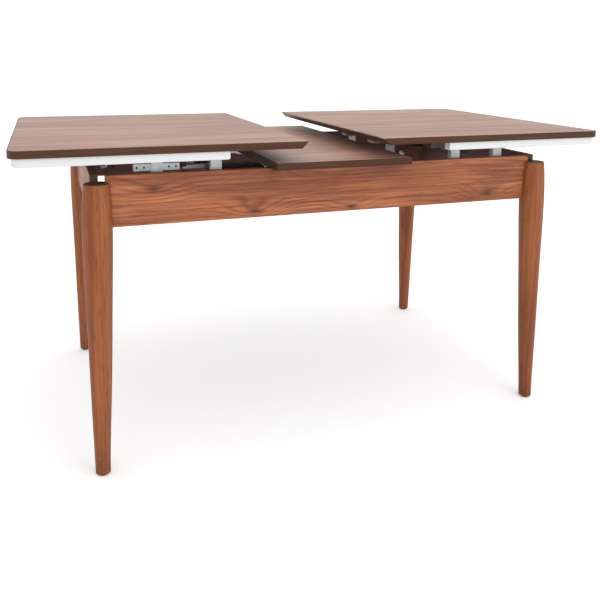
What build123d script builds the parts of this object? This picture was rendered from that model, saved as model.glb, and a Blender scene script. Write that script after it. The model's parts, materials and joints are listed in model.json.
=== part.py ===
from build123d import *
import math
import os

# Extendable dining table: two sliding half tops, a lifting middle leaf, four turned legs.
# Millimetres. Origin on the floor at the middle of the table, X along the length, Z up.

os.makedirs("parts", exist_ok=True)

# ---- tops
TABLE_H = 760.0
HALF_L = 650.0
TOP_W = 800.0
TOP_T = 17.0
GAP = 200.0
CORNER_R = 26.0
BAND_T = 2.0
EDGE_SOFT = 1.5
BEVEL = 14.0
TOP_UNDER = TABLE_H - TOP_T
HALF_IN = GAP / 2
HALF_OUT = HALF_IN + HALF_L

# ---- middle leaf, resting just above the aprons
LEAF_L = 350.0
LEAF_T = 17.0
REST_GAP = 0.5

# ---- aprons, hung a fixed drop below the tabletop
APRON_DROP = 67.0
APRON_TOP = TABLE_H - APRON_DROP
APRON_H = 117.0
APRON_T = 18.0
APRON_Y = 352.0
APRON_X = 587.0
APRON_BOT = APRON_TOP - APRON_H
APRON_IN_Y = APRON_Y - APRON_T
APRON_IN_X = APRON_X - APRON_T
LEAF_BOT = APRON_TOP + REST_GAP

# ---- turned legs: height, centre X, centre Y, radius of each section
GLIDE_T = 4.0
GLIDE_R = 12.0
LEG_X = 575.0
LEG_Y = 352.0
LEG_R = 33.0
FOOT_R = 17.0
SPLAY_X = 8.0
SPLAY_Y = 14.0
LEG_TOP_SOFT = 2.5
LEG_FOOT_SOFT = 1.2
LEG_TOP = APRON_TOP - 16.0
LEG_TOP_R = 28.0
LEG_LOW_DROP = 376.0
LEG_MID_DROP = 176.0
HOUSING = 20.0

# ---- travel of each half top from its rest position, half way open
CLOSE_TRAVEL = HALF_IN - 0.5
CLEAR = 3.0

# ---- slides
SLIDE_Y = 300.0
RAIL_IN = LEAF_L / 2 + CLEAR + CLOSE_TRAVEL
RAIL_L = 360.0
RAIL_FLANGE = 40.0
RAIL_FLANGE_T = 3.0
RAIL_NECK = 8.0
HEAD_W = 22.0
HEAD_H = 13.0
CHAN_W = 29.0
CHAN_H = 20.0
CHAN_WALL = 2.2
CHAN_SLOT = 13.0
CHAN_BOT = APRON_TOP + 22.0
CHAN_IN = 387.0
CHAN_L = 138.0
GLIDE_L = 20.0
GLIDE_SIDE = 1.0
GLIDE_TOP = 1.5
LUG_L = 18.0
LUG_H = 16.0
RAIL_SCREW_X = (20.0, 130.0, 240.0, 340.0)
RAIL_SCREW_Y = 14.0
SLIDE_FIT = 0.3
CHAN_FIT = 0.8
HEAD_BOT = CHAN_BOT + CHAN_WALL + CHAN_FIT

# ---- laths under the half tops
LATH_H = 20.0
LATH_W = 24.0
LATH_INSET = 7.0
LATH_GAP = 9.0
LATH_TIP = 19.0
LATH_SOFT = 5.0

# ---- guide brackets
GB_W = 26.0
GB_T = 3.0
GB_X = {"left": (303.0, 440.0), "right": (338.0, 468.0)}
GB_BOT = APRON_TOP - 45.0
GB_FLANGE = 16.0
GB_FLANGE_T = 2.0
GB_SCREW_Z = (8.0, 28.0)
STRIP_IN = 388.0
STRIP_OUT = 492.0
STRIP_H = 16.0
STRIP_HOLE_R = 2.6
STRIP_HOLE_X = (396.0, 412.0, 468.0, 484.0)

# ---- equaliser
BEAM_X = 235.0
BEAM_W = 40.0
BEAM_H = 42.0
BEAM_TOP = APRON_TOP - 61.0
PLATE_T = 3.0
PLATE_W = 96.0
PLATE_PAST = 20.0
PLATE_SCREW_Y = (-14.0, 14.0)
MODULE = 2.0
TEETH = 20
PITCH_R = MODULE * TEETH / 2
PITCH = math.pi * MODULE
RACK_H = 10.0
RACK_BACK = 10.0
RACK_Z = BEAM_TOP + PLATE_T + 4.0
RACK_END = 95.0
RACK_TEETH_X = 118.0
KEEPER_X = 48.0
KEEPER_L = 24.0
KEEPER_T = 8.0
DROP_X = 300.0
DROP_W = 30.0
DROP_T = 4.0
AXLE_R = 5.0
RUN_FIT = 0.05

# ---- leaf lift
LIFT = 20.0
ARM_L = 150.0
ARM_T = 5.0
ARM_W = 16.0
ARM_Y = 250.0
PIVOT_Z = BEAM_TOP + 28.0
PIVOT_R = 4.0
SLIDE_PIN_R = 3.0
EAR_T = 3.0
EAR_GAP = 1.0
CLEAT_X = 130.0
CLEAT_W = 40.0
CLEAT_T = 18.0
CLEAT_SHORT = 14.0
CLEAT_SCREW_Y = (-300.0, -100.0, 100.0, 300.0)
HANG_W = 30.0
HANG_BELOW = 10.0
HANG_FOOT = 20.0
SLOT_REACH = 2.0
SLOT_FIT = 0.2
FORK_L = 30.0
FORK_W = 44.0
FORK_T = 3.0
FORK_SCREW_X = (-9.0, 9.0)
FORK_SCREW_Y = 15.0
EAR_R = 11.0
EAR_CLEAR = 0.6

# ---- fixings
SCREW_R = 1.75
HEAD_R = 3.6
HEAD_T = 2.2
BOLT_R = 4.0
BLOCK_LEG = 94.0
NUT_R = 7.5
NUT_T = 6.5
WASHER_R = 9.0
WASHER_T = 1.6
BOLT_TAIL = 16.0
BOLT_START = 8.0
BLOCK_H = 55.0
BLOCK_Z = APRON_BOT + 12.0
BOLT_Z = BLOCK_Z + BLOCK_H / 2
LOCK_H = 10.0
LOCK_IN = 6.0
LOCK_L = 26.0
LOCK_W = 32.0
LOCK_Y = (100.0, 270.0)
PAIR_X = (-8.0, 8.0)

SIDES = (("left", -1), ("right", 1))
ENDS = (("front", -1), ("back", 1))


def save(name, shape):
    export_step(shape, f"parts/{name}.step")


def block(x0, x1, y0, y1, z0, z1):
    xa, xb = min(x0, x1), max(x0, x1)
    ya, yb = min(y0, y1), max(y0, y1)
    mid = ((xa + xb) / 2, (ya + yb) / 2, (z0 + z1) / 2)
    return Pos(*mid) * Box(xb - xa, yb - ya, z1 - z0)


def rod(x, y, z, r, h):
    return Pos(x, y, z + h / 2) * Cylinder(r, h)


def rod_y(x, y0, y1, z, r):
    ya, yb = min(y0, y1), max(y0, y1)
    return Pos(x, (ya + yb) / 2, z) * Rot(90, 0, 0) * Cylinder(r, yb - ya)


def group(solids):
    return Compound(children=list(solids))


# Wood screw driven upward from z: a domed head below, a shank into the panel.
def screw_up(x, y, z, length):
    head = rod(x, y, z - HEAD_T, HEAD_R, HEAD_T)
    head = chamfer(head.edges().group_by(Axis.Z)[0], 0.8)
    return head + rod(x, y, z, SCREW_R, length)


def screw_down(x, y, z, length):
    head = rod(x, y, z, HEAD_R, HEAD_T)
    head = chamfer(head.edges().group_by(Axis.Z)[-1], 0.8)
    return head + rod(x, y, z - length, SCREW_R, length)


# Plan outline of a half top, square at the inner end and rounded at the outer end.
def half_plan(s, inset, r):
    x0 = s * HALF_IN
    x1 = s * (HALF_OUT - inset)
    w = TOP_W / 2 - inset
    body = block(x0, x1, -w, w, TOP_UNDER, TABLE_H)
    tall = body.edges().filter_by(Axis.Z)
    outer = [e for e in tall if abs(e.center().X) > HALF_OUT - inset - 1]
    return fillet(outer, r)


# Undercut that slopes the inner end of a half top, leaving a small land at the top.
def end_bevel(s):
    x0 = s * HALF_IN
    pts = [(x0, TABLE_H - TOP_T + BEVEL), (x0 + s * BEVEL, TOP_UNDER), (x0, TOP_UNDER)]
    face = make_face(Polyline(*[(x, 0, z) for x, z in pts], close=True))
    return extrude(face, amount=TOP_W, both=True)


top_holes = {"left": [], "right": []}
frame_parts = {}

# ---- half tops with their edge bands
panels = {}
bands = {}
for name, s in SIDES:
    outer = half_plan(s, 0.0, CORNER_R)
    inner = half_plan(s, BAND_T, CORNER_R - BAND_T)
    low = outer.edges().group_by(Axis.Z)[0]
    keep = [e for e in low if abs(e.center().X) > HALF_IN + 2]
    outer = fillet(keep, EDGE_SOFT)
    bands[name] = (outer - inner) - end_bevel(s)
    panels[name] = inner - end_bevel(s)

# ---- laths under the long edges
for name, s in SIDES:
    for end, t in ENDS:
        x0 = s * (HALF_IN + LEAF_L / 2 + LATH_GAP)
        x1 = s * (HALF_OUT - LATH_INSET)
        y0 = t * (TOP_W / 2 - LATH_INSET)
        y1 = y0 - t * LATH_W
        lath = block(x0, x1, y0, y1, TOP_UNDER - LATH_H, TOP_UNDER)
        tall = lath.edges().filter_by(Axis.Z)
        tip = [e for e in tall if abs(e.center().X) > HALF_OUT - 20]
        tip = [e for e in tip if abs(e.center().Y) > TOP_W / 2 - LATH_INSET - 2]
        lath = fillet(tip, LATH_TIP)
        lath = fillet(lath.edges().group_by(Axis.Z)[0], LATH_SOFT)
        save(f"lath_{end}_{name}", lath)

# ---- slide rails: a T section running along X, flange screwed to the half top
for name, s in SIDES:
    for end, t in ENDS:
        x0 = s * RAIL_IN
        x1 = s * (RAIL_IN + RAIL_L)
        y = t * SLIDE_Y
        f = RAIL_FLANGE / 2
        rail = block(x0, x1, y - f, y + f, TOP_UNDER - RAIL_FLANGE_T, TOP_UNDER)
        n = RAIL_NECK / 2
        rail = rail + block(x0, x1, y - n, y + n, HEAD_BOT, TOP_UNDER - 1)
        h = HEAD_W / 2
        rail = rail + block(x0, x1, y - h, y + h, HEAD_BOT, HEAD_BOT + HEAD_H)
        for dx in RAIL_SCREW_X:
            for dy in (-RAIL_SCREW_Y, RAIL_SCREW_Y):
                px = s * (RAIL_IN + dx)
                hole = rod(px, y + dy, TOP_UNDER - 10, SCREW_R, 22)
                rail = rail - hole
                top_holes[name].append((px, y + dy))
        save(f"slide_rail_{end}_{name}", rail)

# ---- fixed channels that hold the rails, with a nylon glide at each end
slot_glides = []
for name, s in SIDES:
    for end, t in ENDS:
        y = t * SLIDE_Y
        w = CHAN_W / 2
        k = w - CHAN_WALL
        x0 = s * CHAN_IN
        x1 = s * (CHAN_IN + CHAN_L)
        chan = block(x0, x1, y - w, y + w, CHAN_BOT, CHAN_BOT + CHAN_H)
        chan = chan - block(x0, x1, y - k, y + k, CHAN_BOT + CHAN_WALL, CHAN_BOT + CHAN_H - CHAN_WALL)
        g = CHAN_SLOT / 2
        chan = chan - block(x0, x1, y - g, y + g, CHAN_BOT + CHAN_H - 2 * CHAN_WALL, CHAN_BOT + CHAN_H)
        near, far = GB_X[name]
        chan = chan - rod(s * far, y, CHAN_BOT - 5, SCREW_R, 10)
        save(f"slide_channel_{end}_{name}", chan)
        inner_glide = (near - GB_W / 2 - 2, CHAN_IN)
        outer_glide = (CHAN_IN + CHAN_L, CHAN_IN + CHAN_L + GLIDE_L)
        for a, b in (inner_glide, outer_glide):
            side = w + GLIDE_SIDE
            top_z = CHAN_BOT + CHAN_H + GLIDE_TOP
            nylon = block(s * a, s * b, y - side, y + side, CHAN_BOT, top_z)
            nylon = fillet(nylon.edges().filter_by(Axis.Z), 1.5)
            hw = HEAD_W / 2 + SLIDE_FIT
            z0 = HEAD_BOT - SLIDE_FIT
            z1 = HEAD_BOT + HEAD_H + SLIDE_FIT
            nylon = nylon - block(s * a, s * b, y - hw, y + hw, z0, z1)
            nn = RAIL_NECK / 2 + SLIDE_FIT
            nylon = nylon - block(s * a, s * b, y - nn, y + nn, z0, top_z + 1)
            if b == CHAN_IN:
                lug = block(s * (b - LUG_L), s * b, y - w, y + w, CHAN_BOT - LUG_H, CHAN_BOT)
                lug = chamfer(lug.edges().group_by(Axis.Z)[0], 1.5)
                nylon = nylon + lug
                nylon = nylon - rod(s * near, y, CHAN_BOT - 5, SCREW_R, 10)
            slot_glides.append(nylon)
save("slide_glides", group(slot_glides))

# ---- guide brackets carrying the slides on the inside of the long aprons
apron_holes = []
guide_brackets = []
bracket_screws = []
for name, s in SIDES:
    for end, t in ENDS:
        yw = t * APRON_IN_Y
        yb = yw - t * GB_T
        yi = t * (SLIDE_Y - CHAN_W / 2)
        z0 = CHAN_BOT - GB_T
        for gx in GB_X[name]:
            x0 = s * gx - GB_W / 2
            x1 = s * gx + GB_W / 2
            brk = block(x0, x1, yw, yi, z0, CHAN_BOT) + block(x0, x1, yw, yb, GB_BOT, CHAN_BOT)
            for xa, xb in ((x0, x0 + GB_FLANGE_T), (x1 - GB_FLANGE_T, x1)):
                brk = brk + block(xa, xb, yw, yw - t * GB_FLANGE, APRON_TOP - GB_FLANGE, CHAN_BOT)
            if s * t > 0 and gx > STRIP_IN:
                ys = yb - t * GB_T
                strip = block(s * STRIP_IN, s * STRIP_OUT, yb, ys, z0 - STRIP_H, z0)
                for hx in STRIP_HOLE_X:
                    strip = strip - rod_y(s * hx, yb + t, ys - t, z0 - STRIP_H / 2, STRIP_HOLE_R)
                brk = brk + strip
            for dz in GB_SCREW_Z:
                z = GB_BOT + dz
                apron_holes.append((s * gx, t, z))
                brk = brk - rod_y(s * gx, yw - t * 10, yw + t * 14, z, SCREW_R)
                head = rod_y(s * gx, yb, yb - t * HEAD_T, z, HEAD_R)
                shank = rod_y(s * gx, yb, yw + t * 12, z, SCREW_R)
                bracket_screws.append(head + shank)
            brk = brk - rod(s * gx, t * SLIDE_Y, z0 - 5, SCREW_R, 20)
            guide_brackets.append(brk)
            up = rod(s * gx, t * SLIDE_Y, z0 - HEAD_T, HEAD_R, HEAD_T)
            up = up + rod(s * gx, t * SLIDE_Y, z0, SCREW_R, GB_T + CHAN_WALL)
            bracket_screws.append(up)
save("guide_brackets", group(guide_brackets))
save("bracket_screws", group(bracket_screws))

# ---- aprons
for end, t in ENDS:
    a = LEG_X - HOUSING
    apron = block(-a, a, t * APRON_IN_Y, t * APRON_Y, APRON_BOT, APRON_TOP)
    apron = chamfer(apron.edges().filter_by(Axis.X), 0.8)
    for hx, ht, hz in apron_holes:
        if ht == t:
            apron = apron - rod_y(hx, t * (APRON_IN_Y - 2), t * (APRON_IN_Y + 12), hz, SCREW_R)
    frame_parts[f"apron_{end}"] = apron
for name, s in SIDES:
    a = LEG_Y - HOUSING
    apron = block(s * APRON_IN_X, s * APRON_X, -a, a, APRON_BOT, APRON_TOP)
    apron = chamfer(apron.edges().filter_by(Axis.Y), 0.8)
    frame_parts[f"apron_{name}"] = apron

# ---- turned legs, housed for the apron ends and bored for the leg bolts
leg_bolts = []
leg_nuts = []
corner_blocks = []
glides = []
sections = [
    (GLIDE_T, SPLAY_X, SPLAY_Y, FOOT_R),
    (APRON_BOT - LEG_LOW_DROP, SPLAY_X * 0.62, SPLAY_Y * 0.62, FOOT_R + 6.2),
    (APRON_BOT - LEG_MID_DROP, SPLAY_X * 0.27, SPLAY_Y * 0.27, FOOT_R + 11.8),
    (APRON_BOT, 0.0, 0.0, LEG_R),
    (APRON_BOT + 50, -0.6, -0.6, LEG_R - 1.0),
    (LEG_TOP, -1.0, -1.0, LEG_TOP_R),
]
rings = []
for z, dx, dy, r in sections:
    centre = (LEG_X + dx, -(LEG_Y + dy), z)
    place = Plane(origin=centre, x_dir=(1, -1, 0), z_dir=(0, 0, 1))
    rings.append(place * Circle(r))
turned = loft(rings)
turned = fillet(turned.edges().group_by(Axis.Z)[-1], LEG_TOP_SOFT)
turned = chamfer(turned.edges().group_by(Axis.Z)[0], LEG_FOOT_SOFT)
for name, s in SIDES:
    for end, t in ENDS:
        whole = turned
        if s < 0:
            whole = mirror(whole, about=Plane.YZ)
        if t > 0:
            whole = mirror(whole, about=Plane.XZ)
        fb = block(0, s * (LEG_X - HOUSING), t * APRON_IN_Y, t * APRON_Y, APRON_BOT, APRON_TOP)
        sb = block(s * APRON_IN_X, s * APRON_X, 0, t * (LEG_Y - HOUSING), APRON_BOT, APRON_TOP)
        leg = whole - (fb + sb)
        pts = [
            (s * APRON_IN_X, t * APRON_IN_Y),
            (s * APRON_IN_X, t * (APRON_IN_Y - BLOCK_LEG)),
            (s * (APRON_IN_X - BLOCK_LEG), t * APRON_IN_Y),
        ]
        tri = make_face(Polyline(*[(x, y, BLOCK_Z) for x, y in pts], close=True))
        corner = extrude(tri, amount=BLOCK_H, dir=(0, 0, 1))
        corner = corner - whole
        if len(corner.solids()) > 1:
            corner = corner.solids().sort_by(SortBy.VOLUME)[-1]
        diag = (-s / math.sqrt(2), -t / math.sqrt(2), 0)
        reach = ((LEG_X + LEG_Y) - (APRON_IN_X + APRON_IN_Y - BLOCK_LEG)) / math.sqrt(2)
        axis = Plane(origin=(s * LEG_X, t * LEG_Y, BOLT_Z), z_dir=diag)
        bolt_end = reach + BOLT_TAIL
        shank = Cylinder(BOLT_R, bolt_end - BOLT_START)
        shank = axis * Pos(0, 0, (BOLT_START + bolt_end) / 2) * shank
        leg = leg - shank
        frame_parts[f"apron_{end}"] = frame_parts[f"apron_{end}"] - shank
        corner = corner - shank
        nut = axis * Pos(0, 0, reach + WASHER_T) * extrude(RegularPolygon(NUT_R, 6), amount=NUT_T)
        nut = nut - shank
        washer = axis * Pos(0, 0, reach + WASHER_T / 2) * Cylinder(WASHER_R, WASHER_T)
        washer = washer - shank
        leg_bolts.append(shank)
        leg_nuts.append(nut)
        leg_nuts.append(washer)
        corner_blocks.append(corner)
        save(f"leg_{end}_{name}", leg)
        foot = rod(s * (LEG_X + SPLAY_X), t * (LEG_Y + SPLAY_Y), 0, GLIDE_R, GLIDE_T)
        foot = chamfer(foot.edges().group_by(Axis.Z)[0], 1.0)
        glides.append(foot)
for name, apron in frame_parts.items():
    save(name, apron)
save("leg_bolts", group(leg_bolts))
save("leg_nuts", group(leg_nuts))
save("corner_blocks", group(corner_blocks))
save("foot_glides", group(glides))

# ---- cross beams between the long aprons
frame_screws = []
beams = {}
for name, s in SIDES:
    x0 = s * BEAM_X - BEAM_W / 2
    x1 = s * BEAM_X + BEAM_W / 2
    beam = block(x0, x1, -APRON_IN_Y, APRON_IN_Y, BEAM_TOP - BEAM_H, BEAM_TOP)
    beams[name] = chamfer(beam.edges().filter_by(Axis.Y), 1.5)

# ---- equaliser: plate, axle, pinion, two racks and their keepers
plate_x = BEAM_X + PLATE_PAST
plate = block(-plate_x, plate_x, -PLATE_W / 2, PLATE_W / 2, BEAM_TOP, BEAM_TOP + PLATE_T)
plate = fillet(plate.edges().filter_by(Axis.Z), 8.0)
plate = plate - rod(0, 0, BEAM_TOP - 1, AXLE_R - 1.5, PLATE_T + 2)
for name, s in SIDES:
    for y in PLATE_SCREW_Y:
        px = s * BEAM_X
        frame_screws.append(screw_down(px, y, BEAM_TOP + PLATE_T, 24))
        hole = rod(px, y, BEAM_TOP - 21, SCREW_R, 26)
        plate = plate - hole
        beams[name] = beams[name] - hole
axle_z = BEAM_TOP + PLATE_T
axle = rod(0, 0, axle_z, AXLE_R + 3, 2.5)
axle = axle + rod(0, 0, axle_z, AXLE_R, 2.5 + RACK_H + 5)
axle = axle + rod(0, 0, axle_z - PLATE_T - 3, AXLE_R - 1.5, PLATE_T + 4)
axle = axle + rod(0, 0, axle_z - PLATE_T - 3, AXLE_R + 2, 3)
axle = axle + rod(0, 0, RACK_Z + RACK_H + 0.8, AXLE_R + 3, 2)
save("pinion_axle", axle)

# Tapered tooth about the Y axis direction, used for the pinion and the racks alike.
def tooth(root_depth, tip_height):
    pts = [(-2.1, -root_depth - 0.6), (2.1, -root_depth - 0.6), (1.1, 0), (0.55, tip_height)]
    pts = pts + [(-0.55, tip_height), (-1.1, 0)]
    return make_face(Polyline(*[(x, y, 0) for x, y in pts], close=True))


ROOT = 1.25 * MODULE
TIP = 0.8 * MODULE
gear = Cylinder(PITCH_R - ROOT, RACK_H)
one = extrude(tooth(ROOT, TIP), amount=RACK_H / 2, both=True)
for i in range(TEETH):
    gear = gear + Rot(0, 0, i * 360 / TEETH) * Pos(0, PITCH_R, 0) * one
gear = Pos(0, 0, RACK_Z + RACK_H / 2) * gear
gear = gear - rod(0, 0, RACK_Z - 1, AXLE_R + RUN_FIT, RACK_H + 2)
save("pinion", gear)


# Rack along X whose tooth spaces face the pinion; it stands on the +Y side for the left half.
def rack(s):
    t = -s
    x_far = s * (DROP_X + DROP_W / 2)
    x_near = -s * RACK_END
    y0 = t * (PITCH_R + ROOT)
    y1 = t * (PITCH_R + ROOT + RACK_BACK)
    bar = block(x_far, x_near, y0, y1, RACK_Z, RACK_Z + RACK_H)
    rack_one = extrude(tooth(ROOT, TIP), amount=RACK_H / 2, both=True)
    reach = int(RACK_TEETH_X / PITCH) + 1
    for i in range(-reach, reach):
        x = (i + 0.5) * PITCH
        if abs(x) > RACK_TEETH_X or -s * x > RACK_END - MODULE:
            continue
        turn = 180 if t > 0 else 0
        bar = bar + Pos(x, t * PITCH_R, RACK_Z + RACK_H / 2) * Rot(0, 0, turn) * rack_one
    return bar


for name, s in SIDES:
    save(f"rack_{name}", rack(s))

keepers = []
for kx in (-KEEPER_X, KEEPER_X):
    for t in (-1, 1):
        y0 = t * (PITCH_R + ROOT + RACK_BACK + 0.3)
        y1 = y0 + t * KEEPER_T
        ka = kx - KEEPER_L / 2
        kb = kx + KEEPER_L / 2
        keep = block(ka, kb, y0, y1, BEAM_TOP + PLATE_T, RACK_Z + RACK_H + 3)
        lip = block(ka, kb, y0 - t * 6, y1, RACK_Z + RACK_H + 0.5, RACK_Z + RACK_H + 3.5)
        keepers.append(keep + lip)
save("rack_keepers", group(keepers))
save("equaliser_plate", plate)

# ---- drop brackets that carry each rack from its half top
for name, s in SIDES:
    t = -s
    x0 = s * DROP_X - DROP_W / 2
    x1 = s * DROP_X + DROP_W / 2
    y0 = t * (PITCH_R + ROOT + RACK_BACK)
    y1 = y0 + t * DROP_T
    strap = block(x0, x1, y0, y1, RACK_Z - 2, TOP_UNDER)
    strap = strap + block(x0, x1, y0, y1 + t * 26, TOP_UNDER - 3, TOP_UNDER)
    for dx in PAIR_X:
        px = s * DROP_X + dx
        py = y1 + t * 14
        strap = strap - rod(px, py, TOP_UNDER - 8, SCREW_R, 16)
        top_holes[name].append((px, py))
    save(f"drop_bracket_{name}", strap)

# ---- screws of each half top and the finished panels
for name, s in SIDES:
    screws = []
    panel = panels[name]
    for px, py in top_holes[name]:
        screws.append(screw_up(px, py, TOP_UNDER - 3.0, 12.0))
        panel = panel - rod(px, py, TOP_UNDER - 1, SCREW_R, 10.0)
    save(f"top_screws_{name}", group(screws))
    save(f"tabletop_{name}", panel)
    save(f"edge_band_{name}", bands[name])

# ---- small locating blocks under the inner end of each half top
for name, s in SIDES:
    solids = []
    for y in LOCK_Y:
        yc = -s * y
        x0 = s * (HALF_IN + BEVEL + LOCK_IN)
        x1 = x0 + s * LOCK_L
        b = block(x0, x1, yc - LOCK_W / 2, yc + LOCK_W / 2, TOP_UNDER - LOCK_H, TOP_UNDER)
        b = chamfer(b.edges().group_by(Axis.Z)[0], 2.0)
        solids.append(b)
    save(f"locating_blocks_{name}", group(solids))

# ---- middle leaf with its bands, cleats and slotted lift plates
hl = LEAF_L / 2
hw = TOP_W / 2
slab = block(-hl, hl, -hw, hw, LEAF_BOT, LEAF_BOT + LEAF_T)
slab = chamfer(slab.edges(), 0.6)
core = block(-hl + BAND_T, hl - BAND_T, -hw + BAND_T, hw - BAND_T, LEAF_BOT - 1, LEAF_BOT + LEAF_T + 1)
leaf = slab & core
leaf_band = slab - core
leaf_screws = []
theta = math.asin(LIFT / 2 / ARM_L)
pin_x = BEAM_X - ARM_L * math.cos(theta)
pin_z = PIVOT_Z - LIFT / 2
lift_plates = []
for name, s in SIDES:
    x0 = s * CLEAT_X - CLEAT_W / 2
    x1 = s * CLEAT_X + CLEAT_W / 2
    cleat_y = APRON_IN_Y - CLEAT_SHORT
    cleat = block(x0, x1, -cleat_y, cleat_y, LEAF_BOT - CLEAT_T, LEAF_BOT)
    cleat = chamfer(cleat.edges().group_by(Axis.Z)[0], 2.0)
    for y in CLEAT_SCREW_Y:
        px = s * CLEAT_X
        hole = rod(px, y, LEAF_BOT - CLEAT_T - 1, SCREW_R, CLEAT_T + 11)
        leaf_screws.append(screw_up(px, y, LEAF_BOT - CLEAT_T, CLEAT_T + 10))
        cleat = cleat - hole
        leaf = leaf - hole
    save(f"leaf_cleat_{name}", cleat)
    for t in (-1, 1):
        y0 = t * (ARM_Y + ARM_T / 2 + EAR_GAP)
        y1 = y0 + t * EAR_T
        cx = s * (pin_x + 0.2)
        hx0 = cx - HANG_W / 2
        hx1 = cx + HANG_W / 2
        hang = block(hx0, hx1, y0, y1, pin_z - HANG_BELOW, LEAF_BOT)
        hang = hang + block(hx0, hx1, y0, y1 + t * HANG_FOOT, LEAF_BOT - EAR_T, LEAF_BOT)
        r = SLIDE_PIN_R + SLOT_FIT
        sx0 = cx - SLOT_REACH
        sx1 = cx + SLOT_REACH
        slot = rod_y(sx0, y0 - t, y1 + t, pin_z, r) + rod_y(sx1, y0 - t, y1 + t, pin_z, r)
        slot = slot + block(sx0, sx1, y0 - t, y1 + t, pin_z - r, pin_z + r)
        hang = hang - slot
        for dx in PAIR_X:
            py = y1 + t * 11
            hang = hang - rod(cx + dx, py, LEAF_BOT - 6, SCREW_R, 16)
            leaf = leaf - rod(cx + dx, py, LEAF_BOT - 1, SCREW_R, 11)
            leaf_screws.append(screw_up(cx + dx, py, LEAF_BOT - EAR_T, EAR_T + 10))
        lift_plates.append(hang)
save("lift_plates", group(lift_plates))
save("leaf", leaf)
save("leaf_edge_band", leaf_band)
save("leaf_screws", group(leaf_screws))

# ---- lift arms, their fixed brackets and pivot pins
lift_brackets = []
pivots = []
for name, s in SIDES:
    for end, t in ENDS:
        px, pz = s * BEAM_X, PIVOT_Z
        qx, qz = s * pin_x, pin_z
        ya = t * ARM_Y - ARM_T / 2
        yb = t * ARM_Y + ARM_T / 2
        mid = ((px + qx) / 2, t * ARM_Y, (pz + qz) / 2)
        ang = math.degrees(math.atan2(pz - qz, px - qx))
        bar = Pos(*mid) * Rot(0, -ang, 0) * Box(ARM_L, ARM_T, ARM_W)
        bar = bar + rod_y(px, ya, yb, pz, ARM_W / 2) + rod_y(qx, ya, yb, qz, ARM_W / 2)
        bar = bar - rod_y(px, ya - 1, yb + 1, pz, PIVOT_R + RUN_FIT)
        far = t * (ARM_Y + ARM_T / 2 + EAR_GAP + EAR_T + 3)
        bar = bar + rod_y(qx, t * ARM_Y, far, qz, SLIDE_PIN_R)
        save(f"lift_arm_{end}_{name}", bar)
        fx = FORK_L / 2
        fy = FORK_W / 2
        mid_y = t * ARM_Y
        fork = block(px - fx, px + fx, mid_y - fy, mid_y + fy, BEAM_TOP, BEAM_TOP + FORK_T)
        for u in (-1, 1):
            e0 = t * ARM_Y + u * (ARM_T / 2 + EAR_CLEAR)
            e1 = e0 + u * EAR_T
            ear = block(px - EAR_R, px + EAR_R, e0, e1, BEAM_TOP, pz)
            ear = ear + rod_y(px, e0, e1, pz, EAR_R)
            fork = fork + ear
            sy = t * ARM_Y + u * FORK_SCREW_Y
            for dx in FORK_SCREW_X:
                fork = fork - rod(px + dx, sy, BEAM_TOP - 2, SCREW_R, 8)
                beams[name] = beams[name] - rod(px + dx, sy, BEAM_TOP - 17, SCREW_R, 20)
                frame_screws.append(screw_down(px + dx, sy, BEAM_TOP + FORK_T, 20))
        ey = ARM_T / 2 + EAR_CLEAR + EAR_T
        pin = rod_y(px, t * ARM_Y - ey - 1.5, t * ARM_Y + ey + 1.5, pz, PIVOT_R)
        head = rod_y(px, t * ARM_Y + t * ey, t * ARM_Y + t * (ey + 2), pz, PIVOT_R + 2.5)
        fork = fork - rod_y(px, t * ARM_Y - 20, t * ARM_Y + 20, pz, PIVOT_R)
        pivots.append(pin + head)
        lift_brackets.append(fork)
save("lift_brackets", group(lift_brackets))
save("lift_pivots", group(pivots))
save("frame_screws", group(frame_screws))
for name, s in SIDES:
    save(f"cross_beam_{name}", beams[name])
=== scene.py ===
import json
import math

import bpy
from mathutils import Matrix, Vector


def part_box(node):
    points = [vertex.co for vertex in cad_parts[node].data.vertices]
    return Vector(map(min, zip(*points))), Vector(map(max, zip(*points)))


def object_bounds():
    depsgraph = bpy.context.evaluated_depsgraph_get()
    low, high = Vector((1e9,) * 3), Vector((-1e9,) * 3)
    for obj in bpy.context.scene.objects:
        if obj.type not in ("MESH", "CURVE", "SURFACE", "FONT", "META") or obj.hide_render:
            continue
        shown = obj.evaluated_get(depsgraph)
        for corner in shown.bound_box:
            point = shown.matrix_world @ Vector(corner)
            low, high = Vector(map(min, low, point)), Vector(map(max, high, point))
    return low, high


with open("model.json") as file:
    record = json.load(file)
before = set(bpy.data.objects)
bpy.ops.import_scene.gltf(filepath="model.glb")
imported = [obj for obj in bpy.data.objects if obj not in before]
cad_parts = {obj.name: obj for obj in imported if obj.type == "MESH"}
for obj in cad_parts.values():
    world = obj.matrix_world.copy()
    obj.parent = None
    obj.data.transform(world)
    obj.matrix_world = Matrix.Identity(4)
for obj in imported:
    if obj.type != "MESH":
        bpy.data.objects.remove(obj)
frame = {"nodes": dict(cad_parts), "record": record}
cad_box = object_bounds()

nodes = frame["nodes"]
centre = (cad_box[0] + cad_box[1]) / 2

SLOT_OF = {s["node"]: s["material_slot"] for s in frame["record"]["subparts"]}
BUMP_STRENGTH = 0.6


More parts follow.
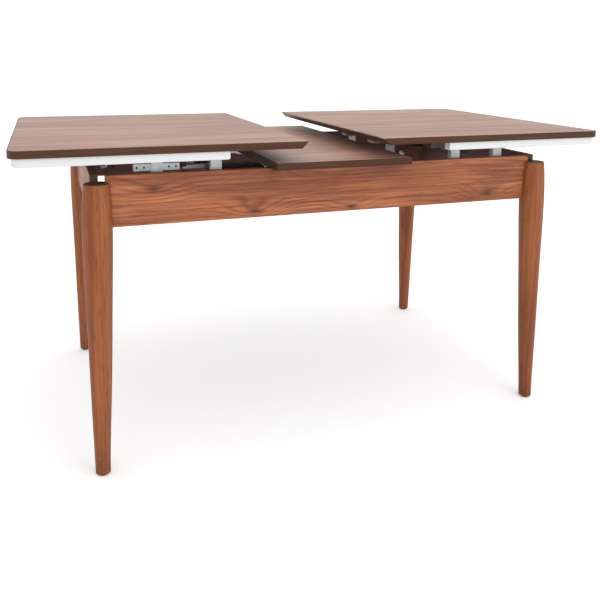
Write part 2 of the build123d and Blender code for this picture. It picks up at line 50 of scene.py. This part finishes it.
# ---------------------------------------------------------------- node helpers
class Graph:
    """Short names for building one material's node tree."""

    def __init__(self, name):
        self.material = bpy.data.materials.new(name)
        self.material.use_nodes = True
        self.tree = self.material.node_tree
        self.shader = self.tree.nodes["Principled BSDF"]
        self.place = self.add("ShaderNodeTexCoord").outputs["Object"]

    def add(self, kind, **settings):
        node = self.tree.nodes.new(kind)
        for key, value in settings.items():
            setattr(node, key, value)
        return node

    def wire(self, source, socket):
        if hasattr(source, "is_output"):
            self.tree.links.new(source, socket)
        else:
            socket.default_value = source

    def math(self, operation, a, b=0.0):
        node = self.add("ShaderNodeMath", operation=operation)
        self.wire(a, node.inputs[0])
        self.wire(b, node.inputs[1])
        return node.outputs[0]

    def scaled(self, scale, offset=(0, 0, 0), source=None):
        node = self.add("ShaderNodeMapping")
        self.wire(source or self.place, node.inputs["Vector"])
        node.inputs["Scale"].default_value = scale
        node.inputs["Location"].default_value = offset
        return node.outputs[0]

    def noise(self, vector, scale=1.0, detail=2.0, rough=0.5, warp=0.0):
        node = self.add("ShaderNodeTexNoise")
        self.wire(vector, node.inputs["Vector"])
        node.inputs["Scale"].default_value = scale
        node.inputs["Detail"].default_value = detail
        node.inputs["Roughness"].default_value = rough
        node.inputs["Distortion"].default_value = warp
        return node.outputs["Fac"]

    def grey_ramp(self, source, stops):
        node = self.add("ShaderNodeValToRGB")
        points = node.color_ramp.elements
        while len(points) < len(stops):
            points.new(0.5)
        for point, (at, level) in zip(points, stops):
            point.position = at
            point.color = (level, level, level, 1.0)
        self.wire(source, node.inputs["Fac"])
        return node.outputs["Color"]

    def mix(self, fac, a, b):
        node = self.add("ShaderNodeMix", data_type="RGBA", blend_type="MIX")
        self.wire(fac, node.inputs[0])
        for value, socket in ((a, node.inputs[6]), (b, node.inputs[7])):
            if isinstance(value, tuple):
                value = (*value, 1.0)
            self.wire(value, socket)
        return node.outputs[2]

    def finish(self, colour, roughness, height=None, depth=0.0, gloss=0.4, **constants):
        self.wire(colour, self.shader.inputs["Base Color"])
        self.wire(roughness, self.shader.inputs["Roughness"])
        if height is not None:
            bump = self.add("ShaderNodeBump")
            bump.inputs["Distance"].default_value = depth
            bump.inputs["Strength"].default_value = BUMP_STRENGTH
            self.wire(height, bump.inputs["Height"])
            self.tree.links.new(bump.outputs["Normal"], self.shader.inputs["Normal"])
        self.shader.inputs["Specular IOR Level"].default_value = gloss
        for key, value in constants.items():
            self.shader.inputs[key.replace("_", " ")].default_value = value
        return self.material


def srgb(r, g, b):
    """A colour given as screen values, each above 10 and up to 255, as linear light."""
    return tuple(((v / 255 + 0.055) / 1.055) ** 2.4 for v in (r, g, b))


# ---------------------------------------------------------------- materials
X, Y, Z = 0, 1, 2


def stretched(along, across, lengthwise):
    """A mapping scale: one number across the grain, another along it."""
    scale = [across, across, across]
    scale[along] = lengthwise
    return tuple(scale)


def wood(name, tones, along, lines=80.0, wander=6.0, wave=4.0, stretch=0.25, fibre=260.0, knots=(),
         ring_strength=0.55, pore_strength=0.5, rough=(0.38, 0.55), seed=0.0, coat=0.0, gloss=0.35,
         depth=0.00025, patch=0.35, fibre_strength=0.28, backing_and_painted_shade=None, end_grain=None, scuff=None):
    """Wood with growth rings, fibres and pores along one axis. tones: dark, middle, light."""
    g = Graph(name)
    shift = (seed, seed * 0.37, seed * 1.7)
    field = g.noise(g.scaled(stretched(along, wave, wave * stretch), shift), 1.0, 2.0, 0.45, 0.25)
    field = g.math("MULTIPLY", field, wander)
    heart = None
    for spot, reach, pull in knots:
        away = g.add("ShaderNodeVectorMath", operation="SUBTRACT")
        g.wire(g.place, away.inputs[0])
        away.inputs[1].default_value = spot
        near = g.scaled(stretched(along, 1 / reach, 0.4 / reach), source=away.outputs[0])
        size = g.add("ShaderNodeVectorMath", operation="LENGTH")
        g.wire(near, size.inputs[0])
        squared = g.math("MULTIPLY", size.outputs["Value"], size.outputs["Value"])
        bell = g.math("EXPONENT", g.math("MULTIPLY", squared, -1.0))
        field = g.math("ADD", field, g.math("MULTIPLY", bell, pull))
        core = g.math("EXPONENT", g.math("MULTIPLY", squared, -16.0))
        heart = core if heart is None else g.math("MAXIMUM", heart, core)

    across = {
        X: (0.0, lines * 0.6, lines),
        Y: (lines * 0.6, 0.0, lines),
        Z: (lines, lines * 0.7, 0.0),
    }[along]
    layer = g.add("ShaderNodeVectorMath", operation="DOT_PRODUCT")
    g.wire(g.place, layer.inputs[0])
    layer.inputs[1].default_value = across
    wiggle = g.noise(g.scaled(stretched(along, 45.0, 7.0), shift), 1.0, 3.0, 0.6)
    phase = g.math("ADD", g.math("ADD", layer.outputs["Value"], field), g.math("MULTIPLY", wiggle, 0.55))
    ring = g.math("FRACT", phase)
    late = g.grey_ramp(ring, [(0.0, 0.9), (0.12, 0.25), (0.45, 0.0), (0.78, 0.35), (1.0, 1.0)])
    fade = g.grey_ramp(g.noise(g.scaled(stretched(along, 22.0, 3.0), shift), 1.0, 2.0, 0.5),
                       [(0.32, 0.15), (0.62, 1.0)])

    fibres = g.noise(g.scaled(stretched(along, fibre, fibre * 0.012), shift), 1.0, 3.0, 0.65)
    streaks = g.noise(g.scaled(stretched(along, fibre * 0.22, fibre * 0.006), shift), 1.0, 3.0, 0.6)
    pore_noise = g.noise(g.scaled(stretched(along, fibre * 2.4, fibre * 0.10), shift), 1.0, 1.0, 0.5)
    pores = g.grey_ramp(pore_noise, [(0.30, 1.0), (0.40, 0.0)])
    clouds = g.noise(g.scaled(stretched(along, wave * 3.0, wave * 0.6), shift), 1.0, 2.0, 0.5)

    dark, middle, light = tones
    colour = g.mix(g.grey_ramp(streaks, [(0.36, 0.0), (0.64, 1.0)]), middle, light)
    shade = g.math("MULTIPLY", g.grey_ramp(clouds, [(0.38, 1.0), (0.62, 0.0)]), patch)
    colour = g.mix(shade, colour, dark)
    colour = g.mix(g.math("MULTIPLY", g.math("MULTIPLY", late, fade), ring_strength), colour, dark)
    colour = g.mix(g.math("MULTIPLY", g.grey_ramp(fibres, [(0.38, 1.0), (0.6, 0.0)]), fibre_strength),
                   colour, dark)
    deep = tuple(v * 0.55 for v in dark)
    colour = g.mix(g.math("MULTIPLY", pores, pore_strength), colour, deep)
    if heart is not None:
        colour = g.mix(g.math("MULTIPLY", heart, 0.85), colour, deep)
    # The first mask darkens back faces: painted shade on the apron inner faces, and on the top and leaf
    # undersides a backing tone that also paints shade
    for cut, side in ((backing_and_painted_shade, "LESS_THAN"), (end_grain, "GREATER_THAN")):
        if cut is not None:
            axis, at, tone = cut
            split = g.add("ShaderNodeSeparateXYZ")
            g.wire(g.place, split.inputs[0])
            face = g.math(side, g.math("ABSOLUTE", split.outputs[axis]), at)
            speck = g.mix(g.math("MULTIPLY", fibres, 0.5), tone, tuple(v * 0.6 for v in tone))
            colour = g.mix(face, colour, speck)

    if scuff is not None:
        split = g.add("ShaderNodeSeparateXYZ")
        g.wire(g.place, split.inputs[0])
        low_down = g.grey_ramp(g.math("DIVIDE", split.outputs[2], scuff), [(0.1, 1.0), (1.0, 0.0)])
        marks = g.grey_ramp(g.noise(g.place, 160.0, 4.0, 0.7), [(0.45, 0.0), (0.62, 0.8)])
        colour = g.mix(g.math("MULTIPLY", low_down, marks), colour, deep)

    low, high = rough
    roughness = g.math("MULTIPLY_ADD", streaks, high - low)
    roughness.node.inputs[2].default_value = low
    rubbed = g.noise(g.place, 7.0, 3.0, 0.55)
    roughness = g.math("ADD", roughness, g.math("MULTIPLY", rubbed, 0.07))
    relief = g.math("SUBTRACT", g.math("MULTIPLY", fibres, 0.5), g.math("MULTIPLY", pores, 0.8))
    return g.finish(colour, roughness, relief, depth, gloss, Coat_Weight=coat, Coat_Roughness=0.25)


def lacquer(name, colour, rough=0.32):
    """Sprayed paint with a faint orange-peel surface."""
    g = Graph(name)
    peel = g.noise(g.place, 420.0, 2.0, 0.5)
    soil = g.noise(g.place, 9.0, 3.0, 0.6)
    shade = g.mix(g.math("MULTIPLY", soil, 0.10), colour, tuple(v * 0.86 for v in colour))
    roughness = g.math("MULTIPLY_ADD", soil, 0.12)
    roughness.node.inputs[2].default_value = rough
    return g.finish(shade, roughness, peel, 0.00012)


def metal(name, colour, rough, grain=0.35, spangle=0.25):
    """Plated or brushed metal: lines drawn along the length and cloudy plating."""
    g = Graph(name)
    brush = g.noise(g.scaled(stretched(X, 900.0, 12.0)), 1.0, 2.0, 0.6)
    cloud = g.noise(g.place, 70.0, 4.0, 0.6)
    shade = g.mix(g.math("MULTIPLY", cloud, spangle), colour, tuple(v * 0.62 for v in colour))
    shade = g.mix(g.math("MULTIPLY", brush, grain), shade, tuple(v * 0.80 for v in colour))
    roughness = g.math("MULTIPLY_ADD", cloud, 0.25)
    roughness.node.inputs[2].default_value = rough
    return g.finish(shade, roughness, brush, 0.00006, Metallic=1.0)


def plastic(name, colour, rough=0.5):
    """Moulded plastic with a fine texture and slightly rubbed patches."""
    g = Graph(name)
    pebble = g.noise(g.place, 1500.0, 2.0, 0.6)
    rub = g.noise(g.place, 45.0, 3.0, 0.6)
    worn = tuple(v * 1.8 + 0.01 for v in colour)
    shade = g.mix(g.grey_ramp(rub, [(0.5, 0.0), (0.8, 0.35)]), colour, worn)
    roughness = g.math("MULTIPLY_ADD", rub, 0.18)
    roughness.node.inputs[2].default_value = rough
    return g.finish(shade, roughness, pebble, 0.00008)


TOP_TONES = (srgb(98, 60, 46), srgb(163, 114, 92), srgb(202, 156, 132))
BAND_TONES = (srgb(44, 24, 12), srgb(74, 44, 26), srgb(94, 60, 40))
APRON_TONES = (srgb(86, 38, 20), srgb(158, 86, 50), srgb(200, 124, 78))
LEG_TONES = (srgb(90, 44, 18), srgb(132, 71, 35), srgb(160, 93, 52))
BLOCK_TONES = (srgb(48, 26, 20), srgb(76, 44, 34), srgb(94, 58, 46))
# Apron inner faces: painted shade, partly the board's own darker tone
INNER_FACE_PAINTED_SHADE = srgb(70, 29, 21)
END_TONE = srgb(84, 62, 38)
# Top and leaf undersides and undercut edges: a darker backing tone that also paints shade
UNDERSIDE_BACKING_AND_SHADE = srgb(72, 44, 30)

# Depths below a face where another tone starts, in metres
# Past this depth from the outer apron face, the inner face takes the painted shade tone
PAINTED_SHADE_DEPTH = 0.0165
SKIN = 0.0025
END_SKIN = 0.0006
SCUFF_HEIGHT = 0.07

apron_lo, apron_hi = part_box("apron_front")
side_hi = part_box("apron_right")[1]
leg_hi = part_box("leg_front_left")[1]
face_y = apron_lo.y
KNOTS = (
    (Vector((-0.215, face_y, apron_lo.z + 0.016)), 0.028, 2.6),
    (Vector((-0.165, face_y, apron_hi.z - 0.004)), 0.022, -1.8),
    (Vector((0.430, face_y, apron_lo.z + 0.022)), 0.030, 2.8),
    (Vector((0.035, face_y, apron_lo.z + 0.010)), 0.026, 2.2),
    (Vector((-0.450, face_y, apron_hi.z - 0.035)), 0.030, 1.6),
)

apron_look = {"lines": 75.0, "wander": 9.0, "wave": 5.0, "stretch": 0.22, "ring_strength": 0.8,
              "patch": 0.5, "fibre_strength": 0.42}
top_look = {"lines": 42.0, "wander": 5.0, "ring_strength": 0.5, "rough": (0.34, 0.46), "gloss": 0.5,
            "depth": 0.00012, "fibre_strength": 0.34}
looks = {
    # Top halves: the underside and undercut edge take the backing tone with painted shade
    "top_laminate": wood("walnut_laminate", TOP_TONES, X, seed=3.1, **top_look,
                         backing_and_painted_shade=(Z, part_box("tabletop_left")[1].z - SKIN, UNDERSIDE_BACKING_AND_SHADE)),
    "dark_band": wood("dark_edge_band", BAND_TONES, X, lines=60.0, seed=7.7, ring_strength=0.3,
                      rough=(0.42, 0.55), gloss=0.2, depth=0.00012),
    # Front apron: its inner face gets painted shade
    "apron_wood": wood("apron_walnut", APRON_TONES, X, knots=KNOTS, seed=11.3, **apron_look,
                       backing_and_painted_shade=(Y, -face_y - PAINTED_SHADE_DEPTH, INNER_FACE_PAINTED_SHADE),
                       end_grain=(X, apron_hi.x - END_SKIN, END_TONE)),
    "leg_wood": wood("leg_walnut", LEG_TONES, Z, lines=105.0, wander=4.0, seed=5.9, ring_strength=0.4,
                     gloss=0.25, end_grain=(Z, leg_hi.z - END_SKIN, END_TONE), scuff=SCUFF_HEIGHT),
    "block_wood": wood("stained_softwood", BLOCK_TONES, Y, lines=60.0, seed=2.3, ring_strength=0.25,
                       rough=(0.55, 0.7), gloss=0.15),
    "white_lacquer": lacquer("white_lacquer", (0.66, 0.675, 0.67)),
    "aluminium_rail": metal("dark_anodised_rail", (0.10, 0.10, 0.105), 0.38),
    "zinc_steel": metal("zinc_plated_steel", (0.46, 0.47, 0.475), 0.30, grain=0.25, spangle=0.6),
    "grey_steel": lacquer("grey_powder_coat", (0.085, 0.09, 0.092), 0.45),
    "black_nylon": plastic("black_nylon", (0.018, 0.018, 0.019)),
    "grey_plastic": plastic("grey_plastic", (0.27, 0.225, 0.19), 0.5),
    "glide_plastic": plastic("glide_plastic", (0.05, 0.042, 0.036), 0.6),
}
# Leaf: the underside takes the backing tone with painted shade
leaf_top = wood("leaf_laminate", TOP_TONES, X, seed=14.6, **top_look,
                backing_and_painted_shade=(Z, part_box("leaf")[1].z - SKIN, UNDERSIDE_BACKING_AND_SHADE))
# Side aprons: their inner faces get painted shade
side_apron = wood("side_apron_walnut", APRON_TONES, Y, seed=19.4, **apron_look,
                  backing_and_painted_shade=(X, side_hi.x - PAINTED_SHADE_DEPTH, INNER_FACE_PAINTED_SHADE),
                  end_grain=(Y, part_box("apron_right")[1].y - END_SKIN, END_TONE))

for name, piece in nodes.items():
    look = looks[SLOT_OF[name]]
    if name in ("apron_left", "apron_right"):
        look = side_apron
    if name == "leaf":
        look = leaf_top
    piece.data.materials.clear()
    piece.data.materials.append(look)


# ---------------------------------------------------------------- floor and light
WHITE = (1.0, 1.0, 1.0, 1.0)
FLOOR_HALF = 40.0
FLOOR_GLOW = 0.2
WORLD_STRENGTH = 1.0
SUN_STRENGTH = 0.5
SUN_SPREAD_DEG = 100
KEY_PLACE = (1.5, -3.2, 2.4)
KEY_SIZE = (2.4, 1.8)
KEY_WATTS = 20


def floor():
    g = Graph("pale_floor")
    cloud = g.noise(g.place, 3.0, 2.0, 0.5)
    shade = g.mix(g.math("MULTIPLY", cloud, 0.03), (0.93, 0.93, 0.93), (0.88, 0.88, 0.88))
    g.finish(shade, 0.75, Emission_Color=WHITE, Emission_Strength=FLOOR_GLOW)
    mesh = bpy.data.meshes.new("floor")
    w = FLOOR_HALF
    mesh.from_pydata([(-w, -w, 0), (w, -w, 0), (w, w, 0), (-w, w, 0)], [], [(0, 1, 2, 3)])
    plane = bpy.data.objects.new("floor", mesh)
    mesh.materials.append(g.material)
    bpy.context.scene.collection.objects.link(plane)


def softbox(name, place, size, power):
    light = bpy.data.lights.new(name, "AREA")
    light.shape = "RECTANGLE"
    light.size, light.size_y = size
    light.energy = power
    lamp = bpy.data.objects.new(name, light)
    lamp.location = place
    lamp.rotation_mode = "QUATERNION"
    lamp.rotation_quaternion = (centre - Vector(place)).to_track_quat("-Z", "Y")
    bpy.context.scene.collection.objects.link(lamp)


def sun(name, toward, strength, spread):
    light = bpy.data.lights.new(name, "SUN")
    light.energy = strength
    light.angle = math.radians(spread)
    lamp = bpy.data.objects.new(name, light)
    lamp.rotation_mode = "QUATERNION"
    lamp.rotation_quaternion = Vector(toward).to_track_quat("Z", "Y")
    bpy.context.scene.collection.objects.link(lamp)


floor()
world = bpy.data.worlds.new("studio")
bpy.context.scene.world = world
world.use_nodes = True
world.node_tree.nodes["Background"].inputs["Color"].default_value = WHITE
world.node_tree.nodes["Background"].inputs["Strength"].default_value = WORLD_STRENGTH
sun("sky_front", (0.45, -0.75, 1.0), SUN_STRENGTH, SUN_SPREAD_DEG)
softbox("key_front", KEY_PLACE, KEY_SIZE, KEY_WATTS)

# ---------------------------------------------------------------- camera
EYE = Vector((-0.6678, -1.9165, 0.9611))
YAW, PITCH, ROLL = (math.radians(a) for a in (19.866, 9.272, 0.557))
FOCAL_MM = 42.141
SHIFT_DOWN = -0.22
SENSOR_MM = 36.0

camera_data = bpy.data.cameras.new("camera")
camera_data.sensor_width = SENSOR_MM
camera_data.lens = FOCAL_MM
camera_data.shift_y = SHIFT_DOWN
camera_data.dof.use_dof = False
camera = bpy.data.objects.new("camera", camera_data)
bpy.context.scene.collection.objects.link(camera)
level = math.cos(PITCH)
ahead = Vector((math.sin(YAW) * level, math.cos(YAW) * level, -math.sin(PITCH)))
turn = ahead.to_track_quat("-Z", "Y").to_matrix() @ Matrix.Rotation(ROLL, 3, "Z")
camera.rotation_mode = "QUATERNION"
camera.rotation_quaternion = turn.to_quaternion()
camera.location = EYE
bpy.context.scene.camera = camera

bpy.context.scene.view_settings.view_transform = "Standard"
